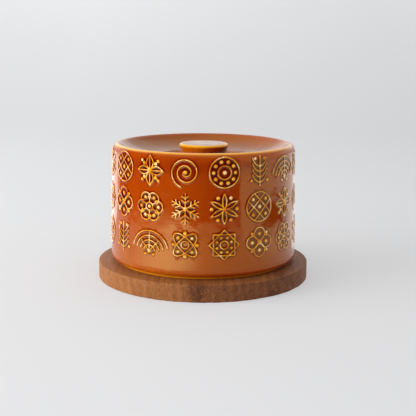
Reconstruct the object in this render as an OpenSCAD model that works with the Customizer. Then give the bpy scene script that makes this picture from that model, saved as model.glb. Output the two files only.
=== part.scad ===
// Round butter dish: a cast earthenware cover with a sunken top and a luted knob,
// standing on a turned hardwood board whose raised seat keeps the cover in place.
// Millimetres, +Z up, origin at the centre of the board's underside.

/* [Cover] */
// Diameter of the cover at its widest, just above the foot ring
cover_d = 137; // [110:0.5:200]
// Height of the cover from its foot ring to its rim
cover_h = 87; // [60:1:140]
// Amount by which the diameter shrinks from the widest line up to the rim
cover_taper = 3.5; // [0:0.5:10]
// Thickness of the cast wall
wall = 5; // [3.5:0.5:8]
// Rounding of the rim
rim_r = 4; // [2:0.5:5]

/* [Sunken top] */
// Depth of the sunken top below the rim
dish_depth = 11; // [8:0.5:20]
// Slope of the sunken top where it leaves the rim, in degrees
dish_slope = 45; // [35:1:55]
// Width over which the flat floor of the sunken top rises into that slope
dish_blend = 26; // [8:1:28]
// Thickness of the sunken top
top_wall = 5; // [3.5:0.5:8]
// Rounding inside the cover, where its top meets its wall
vault_edge_r = 2.5; // [1:0.5:3]

/* [Foot ring] */
// Set-back of the foot ring from the widest line
foot_inset = 4.9; // [3:0.1:8]
// Height of the foot ring
foot_h = 2.6; // [1.5:0.1:6]
// Rounding of the foot ring's edges
foot_edge_r = 0.7; // [0.2:0.1:1.2]
// Rounding of the wall where it turns in to the foot ring
shoulder_r = 2.5; // [1.5:0.5:8]

/* [Knob] */
// Diameter of the knob's top
knob_d = 36; // [24:0.5:50]
// Amount by which the knob's diameter shrinks from its top to its base
knob_taper = 4.6; // [0:0.2:10]
// Height of the knob's top above the rim
knob_rise = -0.5; // [-2:0.5:12]
// Rounding of the knob's upper edge
knob_edge_r = 1.6; // [0.3:0.1:2]
// Depth of the shallow hollow in the knob's top
knob_hollow = 0.5; // [0.1:0.1:1.5]

/* [Board] */
// Width of the board that shows all round the cover
board_margin = 9.5; // [5:0.25:30]
// Thickness of the board under the cover's foot ring
board_t = 12.5; // [8:0.5:30]
// Rounding of the board's upper edge
board_edge_r = 1; // [0.4:0.1:3]
// Rounding of the board's lower edge
board_foot_r = 0.8; // [0.4:0.1:3]
// Height of the raised seat inside the foot ring
seat_h = 2.5; // [1:0.5:4]
// Rounding of the raised seat's edge
seat_edge_r = 0.8; // [0.2:0.1:1]

/* [Fit] */
// Gap all round between the raised seat and the inside of the foot ring
seat_gap = 0.6; // [0.3:0.1:2]

/* [Hidden] */

turn_fn = 180;
round_steps = 8;
dish_steps = 20;

cover_r = cover_d / 2;
rim_outer_r = cover_r - cover_taper / 2;
foot_r = cover_r - foot_inset;
foot_bore_r = foot_r - wall;
shelf_h = foot_h + wall / 2;
turn_in_r = min(shoulder_r, foot_inset);

board_r = cover_r + board_margin;
seat_r = foot_bore_r - seat_gap;

dish_floor = cover_h - dish_depth;
dish_up = [-sin(dish_slope), cos(dish_slope)];
dish_in = [-cos(dish_slope), -sin(dish_slope)];
rim_centre = [rim_outer_r - rim_r, cover_h - rim_r];
dish_edge = rim_centre + rim_r * dish_up;
dish_corner = dish_edge + (dish_edge[1] - dish_floor) / sin(dish_slope) * dish_in;
dish_floor_r = dish_corner[0] - dish_blend;

vault_r = rim_outer_r - wall;
vault_z = dish_floor - top_wall;
vault_start = dish_edge - top_wall * dish_up;
vault_edge_x = vault_r - vault_edge_r * (1 + sin(dish_slope));
vault_edge = vault_start + (vault_start[0] - vault_edge_x) / cos(dish_slope) * dish_in;
vault_edge_centre = vault_edge - vault_edge_r * dish_up;

knob_top_r = knob_d / 2;
knob_base_r = knob_top_r - knob_taper / 2;
knob_h = dish_depth + knob_rise;

board_colour = [0.42, 0.25, 0.15];
glaze_colour = [0.62, 0.27, 0.05];

// Points along an arc round centre c, from angle a0 to a1
function arc(c, r, a0, a1, steps = round_steps) =
    [for (i = [0:steps]) let (a = a0 + (a1 - a0) * i / steps) c + r * [cos(a), sin(a)]];

// Points down a saucer, from its edge, at the dish's slope, to its flat floor
function saucer(edge, floor_z) =
    let (corner = edge + (edge[1] - floor_z) / sin(dish_slope) * dish_in)
    [for (i = [1:dish_steps])
        let (t = i / dish_steps)
        (1 - t) ^ 2 * edge + 2 * t * (1 - t) * corner + t ^ 2 * [dish_floor_r, floor_z]];

function reversed(points) = [for (i = [len(points) - 1:-1:0]) points[i]];

// Half section of the board: underside, side, ledge and raised seat
function board_section() = concat(
    [[0, 0]],
    arc([board_r - board_foot_r, board_foot_r], board_foot_r, -90, 0),
    arc([board_r - board_edge_r, board_t - board_edge_r], board_edge_r, 0, 90),
    [[seat_r, board_t]],
    arc([seat_r - seat_edge_r, board_t + seat_h - seat_edge_r], seat_edge_r, 0, 90),
    [[0, board_t + seat_h]]);

// Outside of the cover, from the foot ring up over the rim to the middle of the sunken top
function cover_outside() = concat(
    arc([foot_r - foot_edge_r, foot_edge_r], foot_edge_r, -90, 0),
    [[foot_r, foot_h]],
    arc([cover_r - turn_in_r, foot_h + turn_in_r], turn_in_r, -90, 0),
    arc(rim_centre, rim_r, 0, 90 + dish_slope, 2 * round_steps),
    saucer(dish_edge, dish_floor),
    [[0, dish_floor]]);

// Inside of the cover, from the middle of its vault down to the foot ring
function cover_inside() = concat(
    [[0, vault_z]],
    reversed(saucer(vault_edge, vault_z)),
    arc(vault_edge_centre, vault_edge_r, 90 + dish_slope, 0),
    arc([foot_bore_r, shelf_h + foot_inset], foot_inset, 0, -90),
    arc([foot_bore_r + foot_edge_r, foot_edge_r], foot_edge_r, 180, 270));

// Half section of the knob: base, tapered side, rounded edge and shallow hollow
function knob_section() = concat(
    [[0, 0], [knob_base_r, 0]],
    arc([knob_top_r - knob_edge_r, knob_h - knob_edge_r], knob_edge_r, 0, 110),
    [for (i = [1:round_steps])
        let (u = 1 - i / round_steps)
        [(knob_top_r - 2 * knob_edge_r) * u, knob_h - knob_hollow * (1 - u * u)]]);

module board() {
    color(board_colour)
        rotate_extrude($fn = turn_fn) polygon(board_section());
}

module cover() {
    color(glaze_colour)
        translate([0, 0, board_t])
            rotate_extrude($fn = turn_fn) polygon(concat(cover_outside(), cover_inside()));
}

module knob() {
    color(glaze_colour)
        translate([0, 0, board_t + dish_floor])
            rotate_extrude($fn = turn_fn) polygon(knob_section());
}

board();
cover();
knob();
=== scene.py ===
import math

import bmesh
import bpy
import numpy as np
from bpy.props import FloatProperty, FloatVectorProperty, IntProperty, PointerProperty
from mathutils import Matrix, Vector, noise


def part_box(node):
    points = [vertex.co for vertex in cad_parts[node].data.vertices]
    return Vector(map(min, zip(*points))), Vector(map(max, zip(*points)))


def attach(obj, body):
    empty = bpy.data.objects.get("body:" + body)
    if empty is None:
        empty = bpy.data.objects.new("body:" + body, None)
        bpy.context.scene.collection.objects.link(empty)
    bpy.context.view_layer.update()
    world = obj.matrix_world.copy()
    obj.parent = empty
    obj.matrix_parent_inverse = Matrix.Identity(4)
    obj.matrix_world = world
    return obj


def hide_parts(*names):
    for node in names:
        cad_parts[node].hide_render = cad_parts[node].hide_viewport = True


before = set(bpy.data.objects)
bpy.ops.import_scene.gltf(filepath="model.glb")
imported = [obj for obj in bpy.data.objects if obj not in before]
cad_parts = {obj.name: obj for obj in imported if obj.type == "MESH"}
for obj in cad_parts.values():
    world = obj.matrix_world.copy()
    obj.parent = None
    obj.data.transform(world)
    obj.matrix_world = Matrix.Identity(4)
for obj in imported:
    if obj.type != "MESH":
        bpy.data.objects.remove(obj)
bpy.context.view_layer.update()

bl_info = {
    "name": "Covered Butter Dish",
    "version": (1, 0, 0),
    "blender": (4, 5, 0),
    "location": "View3D > Sidebar > Butter Dish",
    "description": "A glazed cover with a raised pattern, its knob, its wooden board and a studio stage",
    "category": "Object",
}

BOARD_LOW, BOARD_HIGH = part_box("board")
COVER_LOW, COVER_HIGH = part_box("cover")
KNOB_LOW, KNOB_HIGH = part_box("knob")
MM = 0.001
POOL_SPREAD = 1.25 * MM  # How far glaze gathers about a raised line
FAR_FROM_LINES = 3.0 * MM  # Beyond this a line doesn't change the glaze
SHORT_PIECE = 0.06  # Length of a stroke's pieces, on a disc of radius 1
SOFT_WHITE = (1.0, 0.99, 0.98, 1.0)


# Sizes and colours that a user would change


def length(name, description, default):
    """A size in metres."""
    return FloatProperty(
        name=name, description=description, default=default, min=0.0, unit="LENGTH", precision=5
    )


def share(name, description, default):
    """A plain number, from 0 to 1."""
    return FloatProperty(name=name, description=description, default=default, min=0.0, max=1.0)


def brightness(name, description, default):
    """The power of a lamp or the strength of a glow."""
    return FloatProperty(name=name, description=description, default=default, min=0.0)


def tilt(name, description, degrees):
    """An angle, given in degrees."""
    default = math.radians(degrees)
    return FloatProperty(name=name, description=description, default=default, subtype="ANGLE")


def whole_number(name, description, default, least):
    """A whole number."""
    return IntProperty(name=name, description=description, default=default, min=least)


def colour(name, description, default):
    """A linear colour."""
    return FloatVectorProperty(
        name=name, description=description, default=default, size=3, subtype="COLOR", min=0.0, max=1.0
    )


class CoverSizes(bpy.types.PropertyGroup):
    """Sizes of the glazed cover"""

    radius: length("Wall radius", "Radius of the wall just above the foot", round(COVER_HIGH.x, 5))
    rim_radius: length("Rim radius", "Radius of the wall where it meets the rim", 0.06675)
    height: length("Height", "From the foot to the rim", round(COVER_HIGH.z - COVER_LOW.z, 4))
    wall: length("Wall", "Thickness of the wall and of the sunken top", 0.005)
    rim_round: length("Rim rounding", "Radius of the rolled rim", 0.004)
    dish_depth: length("Dish depth", "How far the top is sunken below the rim", 0.011)
    dish_blend: length("Dish blend", "Length of the sweep from slope to flat floor", 0.026)
    dish_slope: tilt("Dish slope", "Slope of the dish just inside the rim", 45.0)
    vault_round: length("Vault rounding", "Rounding inside, where the wall meets the top", 0.0025)
    foot_inset: length("Foot inset", "How far the foot ring stands in from the wall", 0.0049)
    foot_height: length("Foot height", "Height of the foot ring", 0.0026)
    foot_round: length("Foot rounding", "Rounding of the foot ring's edges", 0.0007)
    turn_in: length("Turn-in", "Rounding under the wall, above the foot ring", 0.0025)
    waver: length("Waver", "How far the fired wall strays from a true turn", 0.00011)
    steps: whole_number("Steps", "Facets round the cover", 160, 32)


class PatternSizes(bpy.types.PropertyGroup):
    """Sizes of the raised pattern"""

    columns: whole_number("Columns", "Ornaments round the wall", 16, 3)
    rows: whole_number("Rows", "Rings of ornaments", 3, 1)
    first_turn: tilt("First column", "Turn of the first column from the front", 170.0)
    lowest: length("Lowest row", "Height of the lowest row's centres", 0.0375)
    pitch: length("Row pitch", "Distance between the rows", 0.0247)
    radius: length("Ornament radius", "Radius of one ornament", 0.0108)
    line: length("Line", "Half the width of a raised line at its foot", 0.00094)
    relief: length("Relief", "Height of a raised line", 0.00050)
    cuts: whole_number("Cuts", "Cuts across a facet under the pattern", 4, 1)


class KnobSizes(bpy.types.PropertyGroup):
    """Sizes of the knob"""

    radius: length("Top radius", "Radius of the knob's top", round(KNOB_HIGH.x, 5))
    base_radius: length("Base radius", "Radius of the knob's base", 0.0157)
    height: length("Height", "From the dish's floor to the knob's top", 0.0105)
    edge_round: length("Edge rounding", "Rounding of the top edge", 0.0016)
    hollow: length("Hollow", "Depth of the shallow hollow in the top", 0.0005)
    steps: whole_number("Steps", "Facets round the knob", 128, 32)


class BoardSizes(bpy.types.PropertyGroup):
    """Sizes of the wooden board"""

    radius: length("Radius", "Radius of the board", round(BOARD_HIGH.x, 5))
    thickness: length("Thickness", "From the table to the ledge round the seat", round(COVER_LOW.z, 5))
    seat_radius: length("Seat radius", "Radius of the raised seat inside the cover", 0.058)
    seat_top: length("Seat top", "Height of the raised seat's top", round(BOARD_HIGH.z, 5))
    edge_round: length("Edge rounding", "Rounding of the upper edge", 0.001)
    foot_round: length("Lower edge rounding", "Rounding of the lower edge", 0.0008)
    wear: length("Wear", "How far the turned edge strays", 0.00022)
    steps: whole_number("Steps", "Facets round the board", 256, 32)


class GlazeFinish(bpy.types.PropertyGroup):
    """Colours of the amber glaze, from its thinnest to its thickest"""

    # The clay colour on broken crests is partly real and partly a painted highlight on the raised lines.
    body: colour("Clay", "Where a crest breaks through the glaze", (0.95, 0.74, 0.42))
    bare: colour("Thinnest", "On the crest of a raised line", (0.95, 0.53, 0.085))
    gold: colour("Gold", "On the rim and the flank of a line", (0.88, 0.40, 0.009))
    thin: colour("Thin", "Beside a crest", (0.74, 0.25, 0.006))
    full: colour("Full", "On the plain wall", (0.40, 0.054, 0.0009))
    pooled: colour("Pooled", "Between close lines", (0.235, 0.0105, 0.0005))
    deep: colour("Deepest", "In corners", (0.090, 0.005, 0.0006))
    # Brown paints shade in the sunken top and at the wall's right, and browns the glaze low on the wall
    # and on the knob's top.
    brown: colour("Brown", "In the sunken top, on the knob and low on the wall", (0.25, 0.078, 0.003))
    roughness: share("Roughness", "Roughness of the fired glaze", 0.07)


class WoodFinish(bpy.types.PropertyGroup):
    """Colours of the oiled wood"""

    light: colour("Light", "Light early wood", (0.38, 0.146, 0.044))
    middle: colour("Middle", "Middle of the grain", (0.22, 0.073, 0.022))
    dark: colour("Dark", "Dark late wood", (0.100, 0.034, 0.013))
    pore: colour("Pores", "Open pores", (0.060, 0.024, 0.011))
    roughness: share("Roughness", "Roughness of the oiled wood", 0.52)


class StageSettings(bpy.types.PropertyGroup):
    """Camera, floor and lights"""

    lens: FloatProperty(name="Lens", description="Focal length in mm", default=77.3, min=10.0)
    pitch: tilt("Pitch", "How far the camera looks down", 10.96)
    roll: tilt("Roll", "Turn of the camera about its view", 0.461)
    floor: colour("Floor", "Pale matt floor", (0.42, 0.42, 0.426))
    floor_glow: brightness("Floor light", "Light from under the floor", 0.35)
    sky: colour("Studio light", "Soft light from all round", (0.97, 0.985, 1.0))
    sky_strength: brightness("Studio strength", "Strength of the soft light", 0.75)
    wall_glow: brightness("Wall light", "Extra light high on the sweep", 0.17)
    key_power: brightness("Key light", "Power of the light at the left", 5.3)


class ButterDish(bpy.types.PropertyGroup):
    """Everything that can be set"""

    cover: PointerProperty(type=CoverSizes)
    pattern: PointerProperty(type=PatternSizes)
    knob: PointerProperty(type=KnobSizes)
    board: PointerProperty(type=BoardSizes)
    glaze: PointerProperty(type=GlazeFinish)
    wood: PointerProperty(type=WoodFinish)
    stage: PointerProperty(type=StageSettings)


# Turning: a half section is drawn in the XZ plane and spun about Z


def line_to(bm, tip, x, z, rows=1):
    """Draws the outline on, in a straight line, and gives its new tip."""
    start, end = tip.co.copy(), Vector((x, 0.0, z))
    for row in range(1, rows + 1):
        tip = bmesh.ops.extrude_vert_indiv(bm, verts=[tip])["verts"][0]
        tip.co = start.lerp(end, row / rows)
    return tip


def arc_to(bm, tip, centre, degrees, steps):
    """Sweeps the tip round a centre, anticlockwise where degrees is positive, and gives its new tip."""
    made = bmesh.ops.spin(
        bm,
        geom=[tip],
        cent=(centre[0], 0.0, centre[1]),
        axis=(0.0, -1.0, 0.0),
        angle=math.radians(degrees),
        steps=steps,
    )
    return [v for v in made["geom_last"] if isinstance(v, bmesh.types.BMVert)][0]


def sweep_to(bm, tip, corner, end, steps):
    """Draws an easy curve that leaves towards a corner and arrives from it, and gives its new tip."""
    start = Vector((tip.co.x, tip.co.z))
    corner, end = Vector(corner), Vector(end)
    for step in range(1, steps + 1):
        t = step / steps
        place = (1 - t) ** 2 * start + 2 * t * (1 - t) * corner + t**2 * end
        tip = line_to(bm, tip, place.x, place.y)
    return tip


def turn(bm, steps):
    """Spins the drawn outline about Z, closes the poles and points the faces outwards."""
    bmesh.ops.remove_doubles(bm, verts=bm.verts[:], dist=1e-6)
    bmesh.ops.spin(
        bm,
        geom=bm.verts[:] + bm.edges[:],
        cent=(0.0, 0.0, 0.0),
        axis=(0.0, 0.0, 1.0),
        angle=math.tau,
        steps=steps,
        use_merge=True,
    )
    bmesh.ops.remove_doubles(bm, verts=bm.verts[:], dist=1e-6)
    bmesh.ops.recalc_face_normals(bm, faces=bm.faces[:])


def mesh_of(bm, name):
    """The finished mesh of a drawing."""
    mesh = bpy.data.meshes.new(name)
    bm.to_mesh(mesh)
    bm.free()
    return mesh


def add_object(name, data):
    """Puts a mesh, camera or lamp into the scene."""
    item = bpy.data.objects.new(name, data)
    bpy.context.scene.collection.objects.link(item)
    return item


def radius_of(points):
    """How far each point lies from the Z axis."""
    return np.hypot(points[:, 0], points[:, 1])


def read_points(mesh):
    """The mesh's points as an array, one row each."""
    points = np.empty(len(mesh.vertices) * 3)
    mesh.vertices.foreach_get("co", points)
    return points.reshape(-1, 3)


def write_points(mesh, points):
    """Puts moved points back."""
    mesh.vertices.foreach_set("co", points.astype(np.float32).ravel())
    mesh.update()


def read_normals(mesh):
    """The normal at each point."""
    normals = np.empty(len(mesh.vertices) * 3)
    mesh.vertex_normals.foreach_get("vector", normals)
    return normals.reshape(-1, 3)


def store(mesh, name, values):
    """Keeps one number for each point, for a material to read."""
    attribute = mesh.attributes.new(name, "FLOAT", "POINT")
    attribute.data.foreach_set("value", values.astype(np.float32))


def finish_piece(name, mesh, material, body, node):
    """Makes the object of a finished mesh, smooth, with its material, on its body."""
    mesh.name = name
    mesh.polygons.foreach_set("use_smooth", np.ones(len(mesh.polygons), bool))
    mesh.materials.append(material)
    piece = add_object(name, mesh)
    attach(piece, body)
    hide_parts(node)
    return piece


# The raised pattern: strokes and dots on a disc of radius 1


def spot(radius, degrees):
    """A point on a circle round the middle: x, y."""
    return radius * math.cos(math.radians(degrees)), radius * math.sin(math.radians(degrees))


def stroke(points):
    """A line through points, as short pieces: x0, y0, x1, y1."""
    points = np.array(points, float)
    return np.hstack([points[:-1], points[1:]])


def straight(x0, y0, x1, y1):
    """A straight stroke, cut into short pieces."""
    count = max(2, int(math.hypot(x1 - x0, y1 - y0) / SHORT_PIECE))
    t = np.linspace(0.0, 1.0, count + 1)
    return stroke(np.stack([x0 + (x1 - x0) * t, y0 + (y1 - y0) * t], 1))


def round_stroke(x, y, radius, start, end):
    """Part of a circle, with its ends in degrees."""
    length_drawn = abs(math.radians(end - start)) * radius
    count = max(4, int(length_drawn / SHORT_PIECE))
    a = np.radians(np.linspace(start, end, count + 1))
    return stroke(np.stack([x + radius * np.cos(a), y + radius * np.sin(a)], 1))


def ray_from(x, y, degrees, start, end):
    """A straight stroke out from a point."""
    c, s = spot(1.0, degrees)
    return straight(x + c * start, y + s * start, x + c * end, y + s * end)


def ray(degrees, start, end):
    """A stroke straight out from the middle."""
    return ray_from(0.0, 0.0, degrees, start, end)


def around(count, radius, size, offset=0.0):
    """Dots in a ring: x, y, radius."""
    return [(*spot(radius, offset + 360.0 * k / count), size) for k in range(count)]


def beaded_ring():
    """Two rings with beads between them."""
    strokes = [round_stroke(0, 0, r, 0, 360) for r in (0.95, 0.42)]
    return strokes, [(0.0, 0.0, 0.12)] + around(10, 0.69, 0.10)


def daisy_wheel():
    """Six petals drawn with a compass."""
    strokes = []
    for k in range(6):
        a = 60.0 * k + 30.0
        x, y = spot(0.95, a)
        strokes.append(round_stroke(x, y, 0.95, a + 120, a + 240))
    return strokes, around(6, 0.80, 0.10)


def snail():
    """A spiral with an even pitch."""
    t = np.linspace(0.06, 1.0, 90)
    a = 2.6 * math.tau * t + 0.6
    return [stroke(np.stack([0.95 * t * np.cos(a), 0.95 * t * np.sin(a)], 1))], [(0.0, 0.0, 0.11)]


def snow_star():
    """Six arms, each with two pairs of twigs."""
    strokes = []
    for k in range(6):
        a = 60.0 * k + 90.0
        strokes.append(ray(a, 0.0, 0.96))
        for start, reach in ((0.36, 0.30), (0.64, 0.26)):
            x, y = spot(start, a)
            strokes += [ray_from(x, y, a + side, 0.0, reach) for side in (-48.0, 48.0)]
    return strokes, [(0.0, 0.0, 0.13)]


def knot():
    """Two long loops, one across the other, round a small ring."""
    strokes = [round_stroke(0, 0, 0.24, 0, 360)]
    t = np.linspace(0.0, math.tau, 72)
    for turned in (45.0, -45.0):
        c, s = spot(1.0, turned)
        x, y = 0.95 * np.cos(t), 0.40 * np.sin(t)
        strokes.append(stroke(np.stack([c * x - s * y, s * x + c * y], 1)))
    return strokes, around(4, 0.74, 0.11) + around(4, 0.62, 0.09, 45.0)


def scallops():
    """Six scallops round a ribbed middle."""
    strokes = [round_stroke(0, 0, 0.25, 0, 360)]
    for k in range(6):
        a = 60.0 * k
        x, y = spot(0.56, a)
        strokes.append(round_stroke(x, y, 0.39, a - 112, a + 112))
        strokes.append(ray(a + 30.0, 0.25, 0.60))
    return strokes, [(0.0, 0.0, 0.11)] + around(6, 0.64, 0.10)


def quatrefoil():
    """Four linked rings, with dots in them and between them."""
    strokes = [round_stroke(x, y, 0.41, 0, 360) for x, y, _ in around(4, 0.54, 0.0)]
    return strokes, [(0.0, 0.0, 0.10)] + around(4, 0.54, 0.11) + around(4, 0.80, 0.10, 45.0)


def lattice():
    """A net of diamonds in a ring, with a dot in every other diamond."""
    strokes = [round_stroke(0, 0, 0.95, 0, 360)]
    for turned in (45.0, -45.0):
        c, s = spot(1.0, turned)
        for off in (-0.32, 0.32):
            half = math.sqrt(0.95**2 - off**2)
            x, y = -off * s, off * c
            strokes.append(straight(x - half * c, y - half * s, x + half * c, y + half * s))
    return strokes, [(0.0, 0.0, 0.12)] + around(4, 0.70, 0.10, 45.0)


def leaf_cross():
    """Four ribbed leaves and four dots."""
    strokes, reach = [], 0.96
    for k in range(4):
        c, s = spot(1.0, 90.0 * k)
        t = np.linspace(0.0, 1.0, 16)
        for side in (-0.26, 0.0, 0.26):
            along, across = reach * t, side * np.sin(math.pi * t)
            x, y = along * c - across * s, along * s + across * c
            strokes.append(stroke(np.stack([x, y], 1)))
    return strokes, around(4, 0.62, 0.11, 45.0) + around(4, 0.86, 0.085, 45.0)


def fan():
    """Nested arcs over a short stem."""
    strokes = [round_stroke(0, -0.62, r, 12, 168) for r in (0.42, 0.72, 1.02, 1.34)]
    strokes.append(straight(0.0, -0.62, 0.0, 0.72))
    strokes += [ray_from(0.0, -0.62, b, 0.0, 1.02) for b in (48.0, 132.0)]
    return strokes, [(0.0, -0.62, 0.13), (-0.30, -0.80, 0.085), (0.30, -0.80, 0.085)]


def wheat():
    """A stem with pairs of ears."""
    strokes = [straight(0.0, -0.95, 0.0, 0.93)]
    for y in (-0.72, -0.38, -0.04, 0.30):
        for side in (-1.0, 1.0):
            t = np.linspace(0.0, 1.0, 10)
            x = side * 0.58 * np.sin(t * 1.25)
            strokes.append(stroke(np.stack([x, y + 0.52 * t**1.7], 1)))
    return strokes, [(side * x, y, 0.09) for x, y in ((0.36, 0.78), (0.62, -0.62)) for side in (-1, 1)]


def eight_point_star():
    """Two squares, one turned on the other, round a small ring."""
    strokes = [round_stroke(0, 0, 0.26, 0, 360)]
    for turned in (0.0, 45.0):
        corners = [spot(0.95, turned + 90.0 * k) for k in range(5)]
        strokes += [straight(*a, *b) for a, b in zip(corners, corners[1:])]
    return strokes, around(8, 0.50, 0.075, 22.5)


ORNAMENTS = (
    snow_star,
    beaded_ring,
    quatrefoil,
    leaf_cross,
    knot,
    daisy_wheel,
    wheat,
    scallops,
    snail,
    eight_point_star,
    lattice,
    fan,
)


def place_ornaments(pattern):
    """Each ornament's turn about Z, height, strokes and dots, in metres on the unrolled wall."""
    placed = []
    for row in range(pattern.rows):
        for column in range(pattern.columns):
            strokes, dots = ORNAMENTS[(column * 5 + row * 8) % len(ORNAMENTS)]()
            turned = pattern.first_turn + math.tau * column / pattern.columns
            height = pattern.lowest + pattern.pitch * row
            strokes, dots = np.vstack(strokes) * pattern.radius, np.array(dots) * pattern.radius
            placed.append((turned, height, strokes, dots))
    return placed


def unroll(points, turned, height, radius):
    """Where points lie on the wall about an ornament's centre: across, up."""
    angle = np.arctan2(points[:, 0], -points[:, 1])
    across = (angle - turned + math.pi) % math.tau - math.pi
    return np.stack([across * radius, points[:, 2] - height], 1)


def nearest_on(strokes, places):
    """For each place: its distance to the nearest stroke, the nearest point and how crowded it is."""
    start, along = strokes[:, :2], strokes[:, 2:] - strokes[:, :2]
    size = np.maximum((along**2).sum(1), 1e-14)
    offset = places[:, None, :] - start[None]
    t = np.clip((offset * along[None]).sum(2) / size, 0.0, 1.0)
    closest = start[None] + t[..., None] * along[None]
    gaps = np.linalg.norm(places[:, None, :] - closest, axis=2)
    best = gaps.argmin(1)
    chosen = np.arange(len(places))
    crowd = (np.sqrt(size)[None] * np.exp(-0.5 * (gaps / POOL_SPREAD) ** 2)).sum(1)
    return gaps[chosen, best], closest[chosen, best], crowd / (POOL_SPREAD * math.sqrt(math.tau))


def smooth_step(low, high, values):
    """0 below low, 1 above high and an easy rise between."""
    t = np.clip((values - low) / (high - low), 0.0, 1.0)
    return t * t * (3.0 - 2.0 * t)


# The cover


def rim_middle(cover):
    """Middle of the rolled rim in the half section: its radius and height."""
    return cover.rim_radius - cover.rim_round, COVER_LOW.z + cover.height - cover.rim_round


def wall_start(cover):
    """Height at which the wall rises from its rounded lower edge."""
    return COVER_LOW.z + cover.foot_height + cover.turn_in


def draw_cover(bm, cover):
    """Half section of the cover: dish, rolled rim, wall, foot ring, inside and vault."""
    base = COVER_LOW.z
    slope = cover.dish_slope
    up = Vector((-math.sin(slope), math.cos(slope)))
    inward = Vector((-math.cos(slope), -math.sin(slope)))
    floor = base + cover.height - cover.dish_depth
    rim = Vector(rim_middle(cover))
    dish_edge = rim + cover.rim_round * up
    dish_corner = dish_edge + (dish_edge.y - floor) / math.sin(slope) * inward
    flat = dish_corner.x - cover.dish_blend

    tip = bm.verts.new((0.0, 0.0, floor))
    tip = line_to(bm, tip, flat, floor, 4)
    tip = sweep_to(bm, tip, dish_corner, dish_edge, 12)
    tip = arc_to(bm, tip, rim, -90 - math.degrees(slope), 15)

    turn_z = wall_start(cover)
    foot_radius = cover.radius - cover.foot_inset
    bore = foot_radius - cover.wall
    tip = line_to(bm, tip, cover.radius, turn_z, 28)
    tip = arc_to(bm, tip, (cover.radius - cover.turn_in, turn_z), -90, 6)
    tip = line_to(bm, tip, foot_radius, base + cover.foot_height)
    tip = line_to(bm, tip, foot_radius, base + cover.foot_round, 2)
    tip = arc_to(bm, tip, (foot_radius - cover.foot_round, base + cover.foot_round), -90, 3)
    tip = line_to(bm, tip, bore + cover.foot_round, base)
    tip = arc_to(bm, tip, (bore + cover.foot_round, base + cover.foot_round), -90, 3)

    shelf = base + cover.foot_height + cover.wall / 2
    vault = floor - cover.wall
    vault_radius = cover.rim_radius - cover.wall
    vault_start = dish_edge - cover.wall * up
    edge_x = vault_radius - cover.vault_round * (1 + math.sin(slope))
    vault_edge = vault_start + (vault_start.x - edge_x) / math.cos(slope) * inward
    vault_centre = vault_edge - cover.vault_round * up
    vault_corner = vault_edge + (vault_edge.y - vault) / math.sin(slope) * inward
    tip = line_to(bm, tip, bore, shelf)
    tip = arc_to(bm, tip, (bore, shelf + cover.foot_inset), 90, 6)
    tip = line_to(bm, tip, vault_centre.x + cover.vault_round, vault_centre.y, 8)
    tip = arc_to(bm, tip, vault_centre, 90 + math.degrees(slope), 6)
    tip = sweep_to(bm, tip, vault_corner, (flat, vault), 8)
    line_to(bm, tip, 0.0, vault, 3)


def wall_radius(cover, heights):
    """Radius of the true outside wall and outer rim at each height."""
    turn_z = wall_start(cover)
    rim_z = rim_middle(cover)[1]
    share_up = np.clip((heights - turn_z) / (rim_z - turn_z), 0.0, 1.0)
    straight_wall = cover.radius + (cover.rim_radius - cover.radius) * share_up
    over = np.clip(heights - rim_z, 0.0, cover.rim_round)
    return straight_wall - cover.rim_round + np.sqrt(cover.rim_round**2 - over**2)


def refine_under_pattern(bm, cover, pattern, placed):
    """Cuts up the wall's faces that a stroke or dot runs over."""
    bm.faces.ensure_lookup_table()
    centres = np.array([f.calc_center_median() for f in bm.faces])
    turn_z = wall_start(cover)
    rim_z = rim_middle(cover)[1]
    outside = radius_of(centres) > wall_radius(cover, centres[:, 2]) - MM
    outside &= (centres[:, 2] > turn_z) & (centres[:, 2] < rim_z + 0.7 * cover.rim_round)
    touched = np.zeros(len(centres), bool)
    half_facet = 0.5 * math.hypot(math.tau * cover.radius / cover.steps, 2.75 * MM)
    for turned, height, strokes, dots in placed:
        places = unroll(centres, turned, height, cover.rim_radius)
        near = np.flatnonzero(outside & (radius_of(places) < 1.3 * pattern.radius))
        gap = nearest_on(strokes, places[near])[0]
        for x, y, size in dots:
            gap = np.minimum(gap, np.hypot(places[near, 0] - x, places[near, 1] - y) - size)
        touched[near[gap < half_facet + 0.3 * pattern.line]] = True
    faces = [bm.faces[i] for i in np.flatnonzero(touched)]
    edges = list({e for f in faces for e in f.edges})
    bmesh.ops.subdivide_edges(bm, edges=edges, cuts=pattern.cuts, use_grid_fill=True)
    crowded = [f for f in bm.faces if len(f.verts) > 4]
    bmesh.ops.triangulate(bm, faces=crowded)


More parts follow.
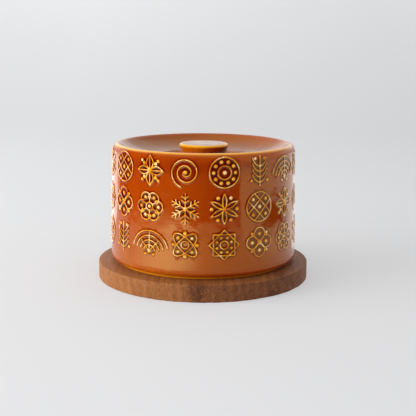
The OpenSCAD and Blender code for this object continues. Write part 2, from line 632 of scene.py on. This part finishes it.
def raise_pattern(mesh, cover, pattern, placed):
    """Moves points onto strokes, raises strokes and dots, and gives each point's gap and crowding."""
    points = read_points(mesh)
    turn_z = wall_start(cover)
    rim_z = rim_middle(cover)[1]
    outside = radius_of(points) > wall_radius(cover, points[:, 2]) - 0.5 * MM
    outside &= (points[:, 2] > turn_z - 1e-6) & (points[:, 2] < rim_z + 0.75 * cover.rim_round)
    line_gap = np.full(len(points), FAR_FROM_LINES)
    crowding = np.zeros(len(points))
    rise = np.zeros(len(points))
    cell = math.tau * cover.radius / cover.steps / (pattern.cuts + 1)
    for turned, height, strokes, dots in placed:
        places = unroll(points, turned, height, cover.rim_radius)
        reach = pattern.radius + 4.0 * MM
        near = np.flatnonzero(outside & (radius_of(places) < reach))
        gap, closest, crowd = nearest_on(strokes, places[near])
        snap = gap < 0.5 * cell
        angle = turned + closest[:, 0] / cover.rim_radius
        moved = near[snap]
        points[moved, 0] = np.sin(angle[snap])
        points[moved, 1] = -np.cos(angle[snap])
        points[moved, 2] = height + closest[snap, 1]
        points[moved, :2] *= wall_radius(cover, points[moved, 2])[:, None]
        places[moved] = closest[snap]
        gap[snap] = 0.0
        lift = 1.0 - smooth_step(0.12 * pattern.line, pattern.line, gap)
        for x, y, size in dots:
            off = np.hypot(places[near, 0] - x, places[near, 1] - y)
            dome = np.sqrt(np.clip(1.0 - (off / (1.25 * size)) ** 2, 0.0, 1.0))
            lift = np.maximum(lift, 1.05 * dome)
            gap = np.minimum(gap, np.maximum(off - 0.75 * size, 0.0))
            crowd += 0.8 * np.exp(-0.5 * (np.maximum(off - size, 0.0) / POOL_SPREAD) ** 2)
        line_gap[near] = np.minimum(line_gap[near], gap)
        crowding[near] += crowd
        rise[near] = np.maximum(rise[near], lift)
    true = wall_radius(cover, points[outside, 2]) / radius_of(points[outside])
    points[outside, :2] *= true[:, None]
    write_points(mesh, points)
    normals = read_normals(mesh)
    points += normals * (rise * pattern.relief)[:, None]
    write_points(mesh, points)
    return line_gap, crowding


def waver_of(points, scale, seed):
    """A slow, even noise at each point."""
    shift = Vector((seed, -seed, 2.0 * seed))
    return np.array([noise.noise(Vector(p) * scale + shift) for p in points])


def thin_glaze(cover, points, on_rim, on_foot):
    """Where the glaze runs thin: along the top of the rim and on the foot ring, and thinner still on the
    rim's left, a painted highlight.
    """
    rim_x, rim_z = rim_middle(cover)
    radius = radius_of(points)
    round_rim = np.degrees(np.arctan2(points[:, 2] - rim_z, radius - rim_x))
    crest = smooth_step(34.0, 64.0, round_rim) * (1.0 - smooth_step(72.0, 104.0, round_rim))
    # Painted highlight: the rim's crest made paler towards the left.
    painted_highlight_left = 1.0 + 0.07 * (1.0 - points[:, 0] / np.maximum(radius, MM))
    up = points[:, 2] - COVER_LOW.z
    bared = 0.76 - 0.44 * smooth_step(0.6 * MM, 1.4 * MM, up)
    bared -= 0.32 * smooth_step(2.4 * MM, 5.0 * MM, up)
    return np.maximum(np.where(on_rim, crest * painted_highlight_left, 0.0), np.where(on_foot, bared, 0.0))


def thick_glaze_and_painted_shade(cover, knob, points, in_dish, on_rim):
    """Where the glaze is thicker: round the knob, in a ring in the dish and in a band under the rim, and
    thinner low on the wall; painted shade at the wall's right, under its turn-in and all over the sunken
    dish.
    """
    radius = radius_of(points)
    up = points[:, 2] - COVER_LOW.z
    round_knob = 1.0 - smooth_step(0.5 * MM, 3.0 * MM, np.abs(radius - knob.base_radius))
    dish_ring = np.exp(-(((radius - 45.5 * MM) / (8.0 * MM)) ** 2))
    # Painted shade: 0.13 more glaze all over the sunken dish darkens it for the shade inside.
    dish = np.maximum(0.3 * round_knob, 0.12 * dish_ring) + 0.13
    ring_under_rim = np.exp(-(((cover.height - 9.0 * MM - up) / (3.5 * MM)) ** 2))
    # Painted shade: more glaze, so darker, towards the wall's right side.
    right = smooth_step(-40.0 * MM, 55.0 * MM, points[:, 0])
    low = 1.0 - smooth_step(18.0 * MM, 45.0 * MM, up)
    wall = 0.30 * right + 0.17 * ring_under_rim - 0.12 * low
    # Painted shade: a little more glaze under the wall's turn-in, above the foot ring.
    below_turn = cover.foot_height + cover.turn_in - up
    under = (radius > cover.radius - cover.foot_inset - MM) & (below_turn > 0.0)
    wall += np.where(under, 0.02 * smooth_step(0.9 * MM, 3.0 * MM, below_turn), 0.0)
    return np.where(in_dish, dish, np.where(on_rim, 0.0, wall))


def browner_glaze_and_painted_shade(cover, points, in_dish, unbrowned):
    """Where the glaze is browner low on the wall, with painted shade: browner and darker in the sunken
    dish and at the wall's right.
    """
    rim_x = rim_middle(cover)[0]
    # Painted shade in the dish, fading out towards the rim.
    inner = 1.0 - smooth_step(rim_x - 5.0 * MM, rim_x - 1.0 * MM, radius_of(points))
    low = 1.0 - smooth_step(20.0 * MM, 45.0 * MM, points[:, 2] - COVER_LOW.z)
    right = smooth_step(15.0 * MM, 50.0 * MM, points[:, 0])
    wall = np.where(unbrowned, 0.0, 0.35 * np.maximum(low, right))
    return np.where(in_dish, 0.7 * inner, wall)


def store_glaze(mesh, line_gap, thinning, pooling_and_shade, browning_and_shade):
    """Keeps what the glaze's colour depends on, each as one number a point."""
    store(mesh, "line_gap", line_gap)
    store(mesh, "thinning", thinning)
    store(mesh, "pooling_and_shade", pooling_and_shade)
    store(mesh, "browning_and_shade", browning_and_shade)


def glaze_cover(mesh, cover, knob, line_gap, crowding):
    """Lays the glaze: thin on crests, the rim and the foot, thick in corners and between close lines,
    with painted shade at the right, under the wall and in the dish, and a painted highlight on the rim's
    left.
    """
    points = read_points(mesh)
    radius = radius_of(points)
    rim_x, rim_z = rim_middle(cover)
    floor = COVER_LOW.z + cover.height - cover.dish_depth
    foot_radius = cover.radius - cover.foot_inset
    from_rim = np.hypot(points[:, 2] - rim_z, radius - rim_x)
    on_rim = (points[:, 2] > rim_z) & (from_rim < 1.4 * cover.rim_round)
    on_foot = (points[:, 2] - COVER_LOW.z < 5.1 * MM) & (radius > foot_radius - 0.8 * MM)
    in_dish = (points[:, 2] > floor - MM) & (radius < rim_x)
    between_lines = np.maximum(1.05 * (crowding - 0.50), 0.0)
    pooling_and_shade = between_lines + thick_glaze_and_painted_shade(cover, knob, points, in_dish, on_rim)
    store_glaze(
        mesh,
        line_gap / MM,
        thin_glaze(cover, points, on_rim, on_foot),
        np.clip(pooling_and_shade, -0.2, 1.6),
        browner_glaze_and_painted_shade(cover, points, in_dish, on_rim | on_foot),
    )


def build_cover(settings):
    """Spins the cover, cuts and raises its pattern and glazes it."""
    cover, pattern = settings.cover, settings.pattern
    bm = bmesh.new()
    draw_cover(bm, cover)
    turn(bm, cover.steps)
    placed = place_ornaments(pattern)
    refine_under_pattern(bm, cover, pattern, placed)
    mesh = mesh_of(bm, "cover")
    line_gap, crowding = raise_pattern(mesh, cover, pattern, placed)
    glaze_cover(mesh, cover, settings.knob, line_gap, crowding)
    points = read_points(mesh)
    normals = read_normals(mesh)
    standing = smooth_step(COVER_LOW.z + 2.0 * MM, COVER_LOW.z + 8.0 * MM, points[:, 2])
    stray = waver_of(points, 45.0, 3.1) + 0.22 * waver_of(points, 130.0, 8.3)
    points += normals * (stray * cover.waver * standing)[:, None]
    write_points(mesh, points)
    glaze = glaze_material(settings.glaze)
    return finish_piece("glazed_cover", mesh, glaze, "cover", "cover")


# The knob


def build_knob(settings):
    """Spins the flared knob, with a fillet of glaze at its base and a shallow hollow on top."""
    knob = settings.knob
    base = KNOB_LOW.z
    top = base + knob.height
    fillet = 1.6 * MM
    bm = bmesh.new()
    tip = bm.verts.new((0.0, 0.0, base))
    tip = line_to(bm, tip, knob.base_radius + fillet, base, 3)
    corner = (knob.base_radius + 0.12 * fillet, base + 0.1 * fillet)
    tip = sweep_to(bm, tip, corner, (knob.base_radius + 0.3 * MM, base + fillet), 6)
    tip = line_to(bm, tip, knob.radius, top - knob.edge_round, 10)
    tip = arc_to(bm, tip, (knob.radius - knob.edge_round, top - knob.edge_round), 110, 8)
    inner = knob.radius - 2.0 * knob.edge_round
    tip = sweep_to(bm, tip, (0.5 * inner, top - knob.hollow), (0.0, top - knob.hollow), 14)
    turn(bm, knob.steps)
    mesh = mesh_of(bm, "knob")
    points = read_points(mesh)
    normals = read_normals(mesh)
    standing = smooth_step(base + 0.2 * MM, base + 3.0 * MM, points[:, 2])
    points += normals * (waver_of(points, 90.0, 7.7) * 0.06 * MM * standing)[:, None]
    write_points(mesh, points)
    edge = smooth_step(top - 2.3 * MM, top - 1.0 * MM, points[:, 2])
    edge *= smooth_step(knob.radius - 2.5 * MM, knob.radius - 1.5 * MM, radius_of(points))
    low = 1.0 - smooth_step(base + 0.6 * MM, base + 3.2 * MM, points[:, 2])
    on_top = smooth_step(top - 1.2 * MM, top - 0.6 * MM, points[:, 2])
    # Painted light and shade: thinner glaze at the knob's left and thicker, darker glaze towards its
    # right; the top gets an even, thicker glaze.
    right_shade_and_top = 1.30 * smooth_step(-0.3, 1.1, points[:, 0] / knob.radius) - 0.24
    right_shade_and_top = right_shade_and_top * (1.0 - on_top) + 0.35 * on_top
    pooling_and_shade = 0.35 * low + (1.0 - edge) * right_shade_and_top
    no_line = np.full(len(points), FAR_FROM_LINES / MM)
    store_glaze(mesh, no_line, edge, pooling_and_shade, 0.7 * on_top * (1.0 - edge))
    glaze = glaze_material(settings.glaze)
    return finish_piece("glazed_knob", mesh, glaze, "cover", "knob")


# The board


def build_board(settings):
    """Spins the round board with its raised seat, and lets its turned edge stray a little."""
    board = settings.board
    seat_round = 0.8 * MM
    bm = bmesh.new()
    tip = bm.verts.new((0.0, 0.0, 0.0))
    tip = line_to(bm, tip, board.radius - board.foot_round, 0.0, 8)
    tip = arc_to(bm, tip, (board.radius - board.foot_round, board.foot_round), 90, 4)
    tip = line_to(bm, tip, board.radius, board.thickness - board.edge_round, 7)
    edge_centre = (board.radius - board.edge_round, board.thickness - board.edge_round)
    tip = arc_to(bm, tip, edge_centre, 90, 5)
    tip = line_to(bm, tip, board.seat_radius, board.thickness, 10)
    tip = line_to(bm, tip, board.seat_radius, board.seat_top - seat_round, 2)
    tip = arc_to(bm, tip, (board.seat_radius - seat_round, board.seat_top - seat_round), 90, 3)
    line_to(bm, tip, 0.0, board.seat_top, 12)
    turn(bm, board.steps)
    mesh = mesh_of(bm, "board")
    points = read_points(mesh)
    normals = read_normals(mesh)
    edge = smooth_step(board.radius - 3.0 * MM, board.radius - 0.8 * MM, radius_of(points))
    stray = waver_of(points, 160.0, 1.3) + 0.5 * waver_of(points, 420.0, 5.2)
    points -= normals * (np.clip(stray + 0.25, 0.0, 1.0) * board.wear * edge)[:, None]
    points[:, 2] = np.maximum(points[:, 2], 0.0)
    write_points(mesh, points)
    wood = wood_material(settings.wood)
    return finish_piece("wooden_board", mesh, wood, "board", "board")


# Materials


def put(tree, kind, label, inputs=None, **settings):
    """Adds a node, sets its options, and fills or links its inputs."""
    made = tree.nodes.new(kind)
    made.label = label
    for option, value in settings.items():
        setattr(made, option, value)
    for name, value in (inputs or {}).items():
        if isinstance(value, bpy.types.NodeSocket):
            tree.links.new(value, made.inputs[name])
        else:
            made.inputs[name].default_value = value
    return made


def sum_of(tree, label, kind, a, b, third=None):
    """A Math node's result."""
    inputs = {0: a, 1: b}
    if third is not None:
        inputs[2] = third
    return put(tree, "ShaderNodeMath", label, inputs, operation=kind).outputs[0]


def remap(tree, label, value, start, end, low, high, easy=False):
    """Carries a value from start..end to low..high, evenly or in an easy curve."""
    kind = "SMOOTHSTEP" if easy else "LINEAR"
    inputs = {0: value, 1: start, 2: end, 3: low, 4: high}
    return put(tree, "ShaderNodeMapRange", label, inputs, interpolation_type=kind).outputs[0]


def place_on(tree, label):
    """The place on the piece itself."""
    return put(tree, "ShaderNodeTexCoord", label).outputs["Object"]


def kept_on_mesh(tree, label, name):
    """A number that the mesh keeps for each point."""
    return put(tree, "ShaderNodeAttribute", label, attribute_name=name).outputs["Fac"]


def axis_of(tree, label, vector, axis):
    """One part of a vector: 0 is X, 1 is Y and 2 is Z."""
    return put(tree, "ShaderNodeSeparateXYZ", label, {0: vector}).outputs[axis]


def mixed(tree, label, amount, shade, second):
    """A shade, mixed with a second one by an amount."""
    inputs = {"Factor": amount, 6: shade, 7: (*second, 1.0)}
    return put(tree, "ShaderNodeMix", label, inputs, data_type="RGBA").outputs[2]


def finish_material(tree, kind, label, inputs):
    """Ends a material in its shader."""
    shader = put(tree, kind, label, inputs)
    put(tree, "ShaderNodeOutputMaterial", "Output", {"Surface": shader.outputs[0]})


def ramp(tree, label, value, stops):
    """A colour ramp through named stops: position, colour."""
    made = put(tree, "ShaderNodeValToRGB", label, {0: value})
    elements = made.color_ramp.elements
    while len(elements) > 1:
        elements.remove(elements[-1])
    elements[0].position = stops[0][0]
    elements[0].color = (*stops[0][1], 1.0)
    for position, shade in stops[1:]:
        elements.new(position).color = (*shade, 1.0)
    return made.outputs[0]


def new_material(name):
    """A material with a clean node tree."""
    material = bpy.data.materials.new(name)
    material.use_nodes = True
    material.node_tree.nodes.clear()
    return material, material.node_tree


def noise_of(tree, label, place, scale, detail=2.0, roughness=0.5, distortion=0.0):
    """A Noise texture's value."""
    inputs = {"Vector": place, "Scale": scale, "Detail": detail, "Roughness": roughness}
    inputs["Distortion"] = distortion
    return put(tree, "ShaderNodeTexNoise", label, inputs).outputs[0]


def glaze_material(glaze):
    """Amber glaze whose colour follows its thickness."""
    if "fired_glaze" in bpy.data.materials:
        return bpy.data.materials["fired_glaze"]
    material, tree = new_material("fired_glaze")
    place = place_on(tree, "Place on the object")
    pooling_and_shade = kept_on_mesh(tree, "Pooling", "pooling_and_shade")
    thinning = kept_on_mesh(tree, "Thinning", "thinning")
    gap = kept_on_mesh(tree, "Distance to a line", "line_gap")
    browning_and_shade = kept_on_mesh(tree, "Browning", "browning_and_shade")
    clouds = noise_of(tree, "Clouds in the glaze", place, 42.0, 3.0)
    mottle = noise_of(tree, "Mottling", place, 420.0, 2.0)

    # Where crests break through, the pale clay colour is partly real and partly a painted highlight on
    # the raised lines.
    crest = remap(tree, "Crest of a line", gap, 0.10, 0.72, 1.0, 0.0, True)
    uneven = noise_of(tree, "Glaze runs unevenly", place, 150.0, 2.0)
    broken = remap(tree, "Crest partly covered", uneven, 0.34, 0.60, 0.74, 1.0)
    crest = sum_of(tree, "Crest breaks through", "MULTIPLY", crest, broken)
    off_crest = sum_of(tree, "Crest keeps little", "SUBTRACT", 1.0, crest)
    # The pooling attribute holds real pooling and painted shade together.
    thickness = sum_of(tree, "Pooling adds", "MULTIPLY_ADD", pooling_and_shade, 0.46, 0.44)
    thickness = sum_of(tree, "Clouds add", "MULTIPLY_ADD", clouds, 0.14, thickness)
    thickness = sum_of(tree, "Mottling adds", "MULTIPLY_ADD", mottle, 0.06, thickness)
    thickness = sum_of(tree, "Thickness off the crests", "MULTIPLY", thickness, off_crest)
    thickness = sum_of(tree, "Edges thin", "MULTIPLY_ADD", thinning, -0.41, thickness)
    stops = (
        (0.0, glaze.body),
        (0.05, glaze.bare),
        (0.12, glaze.gold),
        (0.20, glaze.thin),
        (0.50, glaze.full),
        (0.78, glaze.pooled),
        (1.0, glaze.deep),
    )
    tint = ramp(tree, "Colour by thickness", thickness, stops)
    # Browning paints shade in the dish and at the wall's right; it also browns the glaze low on the wall
    # and on the knob's top.
    browned = sum_of(tree, "Part of the way to brown", "MULTIPLY", browning_and_shade, 0.6)
    tint = mixed(tree, "Browner in places", browned, tint, glaze.brown)

    gloss = sum_of(tree, "Roughness varies", "MULTIPLY_ADD", clouds, 0.05, glaze.roughness - 0.02)
    waves = noise_of(tree, "Slow waves", place, 85.0, 1.0)
    inputs = {"Height": waves, "Strength": 1.0, "Distance": 0.26 * MM}
    swell = put(tree, "ShaderNodeBump", "Glaze lies in slow waves", inputs).outputs[0]
    peel = noise_of(tree, "Orange peel", place, 900.0, 1.0)
    inputs = {"Height": peel, "Strength": 0.10, "Distance": 0.25 * MM, "Normal": swell}
    skin = put(tree, "ShaderNodeBump", "Glaze surface", inputs).outputs[0]
    inputs = {"Base Color": tint, "Roughness": gloss, "IOR": 1.62, "Normal": skin}
    inputs["Specular Tint"] = (1.0, 0.90, 0.36, 1.0)
    finish_material(tree, "ShaderNodeBsdfPrincipled", "Fired glaze", inputs)
    return material


def dark_knot(tree, label, place, centre, reach):
    """1 at a knot's centre, fading to 0 at its reach along each axis."""
    scale = [1.0 / far for far in reach]
    shift = [-at / far for at, far in zip(centre, reach)]
    inputs = {"Vector": place, "Location": shift, "Scale": scale}
    moved = put(tree, "ShaderNodeMapping", label + ", place", inputs)
    inputs = {"Vector": moved.outputs[0]}
    return put(tree, "ShaderNodeTexGradient", label, inputs, gradient_type="SPHERICAL").outputs[1]


def along_grain(tree, label, place, across, lengthways, upright):
    """The place, stretched along the grain, which runs a little askew."""
    inputs = {"Vector": place, "Rotation": (0.0, 0.22, 0.07), "Scale": (across, lengthways, upright)}
    return put(tree, "ShaderNodeMapping", label, inputs).outputs[0]


def painted_side_light_and_end_grain(tree, place):
    """Painted light and shade: the wood lighter at the left and darker at the right; also darker in end
    grain than on the flat.
    """
    across = axis_of(tree, "Across the board", place, 0)
    # Painted light on the left side and painted shade on the right side.
    side = remap(tree, "Lighter on one side", across, -0.022, 0.002, 0.11, -0.105, True)
    far = remap(tree, "Darker far side", across, 0.0, 0.07, 0.0, -0.14)
    side = sum_of(tree, "Far side adds", "ADD", side, far)
    facing = put(tree, "ShaderNodeTexCoord", "Facing on the object").outputs["Normal"]
    facing = axis_of(tree, "Along the grain", facing, 1)
    end_on = sum_of(tree, "Either end", "ABSOLUTE", facing, 0.0)
    ends = remap(tree, "End grain is darker", end_on, 0.2, 0.9, 0.235, 0.125)
    kept = remap(tree, "Sides differ more in end grain", end_on, 0.2, 0.9, 0.6, 1.0)
    return sum_of(tree, "End grain adds", "MULTIPLY_ADD", side, kept, ends)


def ragged_knots(tree, place, along):
    """A dark figure in front and a small knot beside it, both broken up by the grain."""
    figure = dark_knot(tree, "Dark figure in front", place, (-0.003, -0.078, 0.005), (0.008, 0.02, 0.02))
    small = dark_knot(tree, "Small dark knot", place, (0.047, -0.062, 0.001), (0.005, 0.007, 0.006))
    knots = sum_of(tree, "Both knots", "MAXIMUM", figure, small)
    ragged = noise_of(tree, "Ragged figure", along, 520.0, 3.0, 0.7, 1.5)
    ragged = remap(tree, "Figure breaks up", ragged, 0.42, 0.58, 1.7, 0.1)
    return sum_of(tree, "Broken figure", "MULTIPLY", knots, ragged)


def wood_material(wood):
    """Oiled wood with its grain from front to back, pores and dark streaks."""
    material, tree = new_material("oiled_grain")
    place = place_on(tree, "Place on the object")
    along = along_grain(tree, "Stretched along the grain", place, 1.0, 0.06, 0.60)
    short = along_grain(tree, "Pores run along the grain", place, 1.0, 0.09, 0.75)
    inputs = {"Vector": along, "Scale": 55.0, "Distortion": 7.0, "Detail": 4.0, "Detail Scale": 14.0}
    bands = put(tree, "ShaderNodeTexWave", "Growth bands", inputs, wave_type="BANDS", bands_direction="X")
    fibre = noise_of(tree, "Fibres", along, 1300.0, 4.0, 0.7)
    streak = noise_of(tree, "Streaks", along, 330.0, 3.0, 0.6, 0.4)
    cloud = noise_of(tree, "Broad shades", along, 38.0, 2.0, 0.5)
    knots = ragged_knots(tree, place, along)

    # The tone starts from painted light at the left, painted shade at the right and darker end grain.
    tone = painted_side_light_and_end_grain(tree, place)
    for label, part, weight in (
        ("Bands", bands.outputs["Fac"], 0.10),
        ("Fibres add", fibre, 0.36),
        ("Streaks add", streak, 0.34),
        ("Shades add", cloud, 0.30),
        ("Knots darken", knots, -0.26),
    ):
        tone = sum_of(tree, label, "MULTIPLY_ADD", part, weight, tone)
    tint = ramp(tree, "Grain colour", tone, ((0.40, wood.dark), (0.62, wood.middle), (0.90, wood.light)))

    inputs = {"Vector": short, "Scale": 900.0, "Randomness": 1.0}
    pores = put(tree, "ShaderNodeTexVoronoi", "Pores", inputs).outputs["Distance"]
    specks = remap(tree, "Pore marks", pores, 0.14, 0.34, 1.0, 0.0, True)
    crowd = noise_of(tree, "Where pores gather", along, 90.0, 2.0)
    crowd = remap(tree, "Pores gather", crowd, 0.46, 0.66, 0.12, 0.80)
    crowd = sum_of(tree, "Pores round a knot", "MAXIMUM", crowd, knots)
    amount = sum_of(tree, "Pores show", "MULTIPLY", specks, crowd)
    tint = mixed(tree, "Pores darken", amount, tint, wood.pore)

    gloss = sum_of(tree, "Roughness varies", "MULTIPLY_ADD", fibre, 0.20, wood.roughness - 0.10)
    height = sum_of(tree, "Pores sink", "MULTIPLY_ADD", amount, -0.8, fibre)
    inputs = {"Height": height, "Strength": 0.35, "Distance": 0.3 * MM}
    surface = put(tree, "ShaderNodeBump", "Wood surface", inputs).outputs[0]
    inputs = {"Base Color": tint, "Roughness": gloss, "IOR": 1.45, "Normal": surface}
    inputs["Specular IOR Level"] = 0.20
    finish_material(tree, "ShaderNodeBsdfPrincipled", "Oiled wood", inputs)
    return material


def floor_material(stage):
    """A matt pale sweep whose wall is lit a little more as it rises."""
    material, tree = new_material("pale_floor")
    place = place_on(tree, "Place on the stage")
    height = axis_of(tree, "Height", place, 2)
    across = axis_of(tree, "Across the stage", place, 0)
    left = remap(tree, "More light at the left", across, -0.3, 0.45, 1.14, 0.84)
    wall_light = stage.floor_glow + stage.wall_glow
    lift = remap(tree, "Wall lit from above", height, 0.0, 0.45, stage.floor_glow, wall_light)
    lift = sum_of(tree, "Light of the sweep", "MULTIPLY", lift, left)
    inputs = {"Base Color": (*stage.floor, 1.0), "Roughness": 0.9, "Specular IOR Level": 0.0}
    inputs["Emission Color"] = (1.0, 1.0, 1.0, 1.0)
    inputs["Emission Strength"] = lift
    finish_material(tree, "ShaderNodeBsdfPrincipled", "Matt sweep", inputs)
    return material


def glow_material(name, strength):
    """A card that gives an even light, or none."""
    material, tree = new_material(name)
    finish_material(tree, "ShaderNodeEmission", name, {"Color": SOFT_WHITE, "Strength": strength})
    return material


def fading_glow(name, stops, edge=None):
    """A card whose light changes along X through its stops, and fades along Y to its edge's light."""
    material, tree = new_material(name)
    place = place_on(tree, "Place on the stage")
    across = axis_of(tree, "Across the stage", place, 0)
    glow = stops[0][1]
    for (start, before), (end, after) in zip(stops, stops[1:]):
        step = remap(tree, "Light changes", across, start, end, 0.0, after - before, True)
        glow = sum_of(tree, "Light so far", "ADD", glow, step)
    if edge is not None:
        deep = axis_of(tree, "Towards the back", place, 1)
        kept = remap(tree, "Fades to the edge", deep, -0.13, -0.02, 1.0, 0.0, True)
        extra = sum_of(tree, "Above the edge's light", "SUBTRACT", glow, edge)
        glow = sum_of(tree, "Light with its edge", "MULTIPLY_ADD", extra, kept, edge)
    finish_material(tree, "ShaderNodeEmission", name, {"Color": SOFT_WHITE, "Strength": glow})
    return material


# The stage


def add_camera(stage):
    """The camera at its place in front of the object."""
    lens = bpy.data.cameras.new("camera")
    lens.lens = stage.lens
    lens.sensor_width = 36.0
    lens.clip_start, lens.clip_end = 0.01, 20.0
    camera = add_object("camera", lens)
    place = Matrix.Translation((0.00352, -0.6556, 0.1771))
    pitch = Matrix.Rotation(math.radians(90) - stage.pitch, 4, "X")
    camera.matrix_world = place @ pitch @ Matrix.Rotation(stage.roll, 4, "Z")
    bpy.context.scene.camera = camera


def add_sky(stage):
    """Soft light from all round."""
    world = bpy.data.worlds.new("studio")
    world.use_nodes = True
    background = world.node_tree.nodes["Background"].inputs
    background["Color"].default_value = (*stage.sky, 1.0)
    background["Strength"].default_value = stage.sky_strength
    bpy.context.scene.world = world


def add_floor(stage):
    """A round floor that rises to a wall on every side."""
    bm = bmesh.new()
    tip = bm.verts.new((0.0, 0.0, 0.0))
    tip = line_to(bm, tip, 1.0, 0.0, 4)
    tip = arc_to(bm, tip, (1.0, 1.4), 86, 24)
    turn(bm, 96)
    flipped = [f for f in bm.faces if f.normal.z < 0]
    bmesh.ops.reverse_faces(bm, faces=flipped)
    mesh = mesh_of(bm, "floor")
    mesh.polygons.foreach_set("use_smooth", np.ones(len(mesh.polygons), bool))
    mesh.materials.append(floor_material(stage))
    add_object("floor", mesh)


def add_card(name, outline, start, end, material):
    """Spins a drawn line about Z, between two angles, into a card that only mirror reflections see."""
    bm = bmesh.new()
    tip = bm.verts.new((outline[0][0], 0.0, outline[0][1]))
    for x, z in outline[1:]:
        tip = line_to(bm, tip, x, z)
    first = Matrix.Rotation(math.radians(start - 90.0), 4, "Z")
    bmesh.ops.transform(bm, matrix=first, verts=bm.verts[:])
    bmesh.ops.spin(
        bm,
        geom=bm.verts[:] + bm.edges[:],
        cent=(0.0, 0.0, 0.0),
        axis=(0.0, 0.0, 1.0),
        angle=math.radians(end - start),
        steps=40,
    )
    mesh = mesh_of(bm, name)
    mesh.materials.append(material)
    card = add_object(name, mesh)
    card.visible_camera = False
    card.visible_diffuse = False
    card.visible_shadow = False
    card.visible_transmission = False
    card.visible_volume_scatter = False


def add_flag(name, near, start, end, material):
    """A flag over the floor and up a screen, like the dark room beyond a table."""
    screen = ((1.0, 0.004), (1.3, 0.05), (1.6, 0.17), (1.66, 1.30))
    add_card(name, ((near, 0.002), *screen), start, end, material)


def add_patch(name, near, far, start, end, material):
    """A flat patch just over the floor."""
    add_card(name, ((near, 0.003), (far, 0.003)), start, end, material)


def add_key_light(stage):
    """A soft box at the left, a little in front."""
    lamp = bpy.data.lights.new("key_light", "AREA")
    lamp.shape = "RECTANGLE"
    lamp.size, lamp.size_y = 1.7, 0.36
    lamp.energy = stage.key_power
    lamp.spread = math.radians(90.0)
    key = add_object("key_light", lamp)
    place, aim = Vector((-1.22, -0.44, 0.40)), Vector((0.0, 0.0, 0.05))
    key.location = place
    key.rotation_euler = (aim - place).to_track_quat("-Z", "Y").to_euler()
    key.visible_camera = False
    key.visible_glossy = False


def add_cards():
    """The dark and bright cards that the glaze mirrors."""
    dark = glow_material("dark_flag", 0.0)
    add_flag("dark_flag_left", 0.34, -120.0, -58.0, dark)
    add_flag("dark_flag_corner", 0.47, -58.0, -34.0, dark)
    add_flag("dark_flag_front", 0.36, -34.0, 43.0, dark)
    add_patch("dark_patch_right", 0.29, 0.46, 68.0, 112.0, dark)
    behind = fading_glow("bright_behind", ((-0.12, 2.1), (0.12, 1.3)))
    add_patch("bright_patch_behind", 0.125, 0.90, 118.0, 235.0, behind)
    front_stops = ((-0.235, 1.1), (-0.165, 3.1), (-0.085, 3.1), (0.01, 0.75))
    front = fading_glow("bright_front", front_stops, 0.85)
    add_patch("bright_patch_front", 0.125, 0.335, -100.0, 6.0, front)
    side = fading_glow("bright_side", ((0.10, 0.72), (0.24, 1.15)))
    add_card("bright_patch_side", ((0.125, 0.002), (0.90, 0.002)), 44.0, 118.0, side)
    low = fading_glow("bright_back", ((-0.9, 1.25), (0.9, 1.1)))
    add_card("bright_card_back", ((1.70, 0.30), (1.85, 0.80)), 110.0, 250.0, low)
    high_outline = ((1.85, 0.80), (1.60, 1.70), (1.0, 2.20), (0.2, 2.40))
    add_card("bright_card_high", high_outline, 150.0, 250.0, glow_material("bright_high", 0.95))


def build_stage(settings):
    """Camera, soft light, floor, key light and the cards that the glaze mirrors."""
    add_camera(settings.stage)
    bpy.context.scene.view_settings.view_transform = "Standard"
    add_sky(settings.stage)
    add_floor(settings.stage)
    add_key_light(settings.stage)
    add_cards()


# Operators, panel and registration


class DISH_OT_stage(bpy.types.Operator):
    """Make the camera, the floor and the studio lights"""

    bl_idname = "butter_dish.stage"
    bl_label = "Set the Stage"

    def execute(self, context):
        build_stage(context.scene.butter_dish)
        return {"FINISHED"}


class DISH_OT_board(bpy.types.Operator):
    """Make the round wooden board"""

    bl_idname = "butter_dish.board"
    bl_label = "Make the Board"

    def execute(self, context):
        build_board(context.scene.butter_dish)
        return {"FINISHED"}


class DISH_OT_cover(bpy.types.Operator):
    """Make the glazed cover with its raised pattern"""

    bl_idname = "butter_dish.cover"
    bl_label = "Make the Cover"

    def execute(self, context):
        build_cover(context.scene.butter_dish)
        return {"FINISHED"}


class DISH_OT_knob(bpy.types.Operator):
    """Make the knob in the sunken top"""

    bl_idname = "butter_dish.knob"
    bl_label = "Make the Knob"

    def execute(self, context):
        build_knob(context.scene.butter_dish)
        return {"FINISHED"}


class DISH_PT_panel(bpy.types.Panel):
    """Lists the operators of the butter dish"""

    bl_idname = "DISH_PT_panel"
    bl_label = "Covered Butter Dish"
    bl_space_type = "VIEW_3D"
    bl_region_type = "UI"
    bl_category = "Butter Dish"

    def draw(self, context):
        for operator in (DISH_OT_stage, DISH_OT_board, DISH_OT_cover, DISH_OT_knob):
            self.layout.operator(operator.bl_idname)


CLASSES = (
    CoverSizes,
    PatternSizes,
    KnobSizes,
    BoardSizes,
    GlazeFinish,
    WoodFinish,
    StageSettings,
    ButterDish,
    DISH_OT_stage,
    DISH_OT_board,
    DISH_OT_cover,
    DISH_OT_knob,
    DISH_PT_panel,
)


def register():
    """Registers the classes and the scene's settings."""
    for item in CLASSES:
        bpy.utils.register_class(item)
    bpy.types.Scene.butter_dish = PointerProperty(type=ButterDish)


def unregister():
    """Takes them away again."""
    del bpy.types.Scene.butter_dish
    for item in reversed(CLASSES):
        bpy.utils.unregister_class(item)


def main():
    """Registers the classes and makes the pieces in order."""
    register()
    bpy.ops.butter_dish.stage()
    bpy.ops.butter_dish.board()
    bpy.ops.butter_dish.cover()
    bpy.ops.butter_dish.knob()


if __name__ == "__main__":
    main()
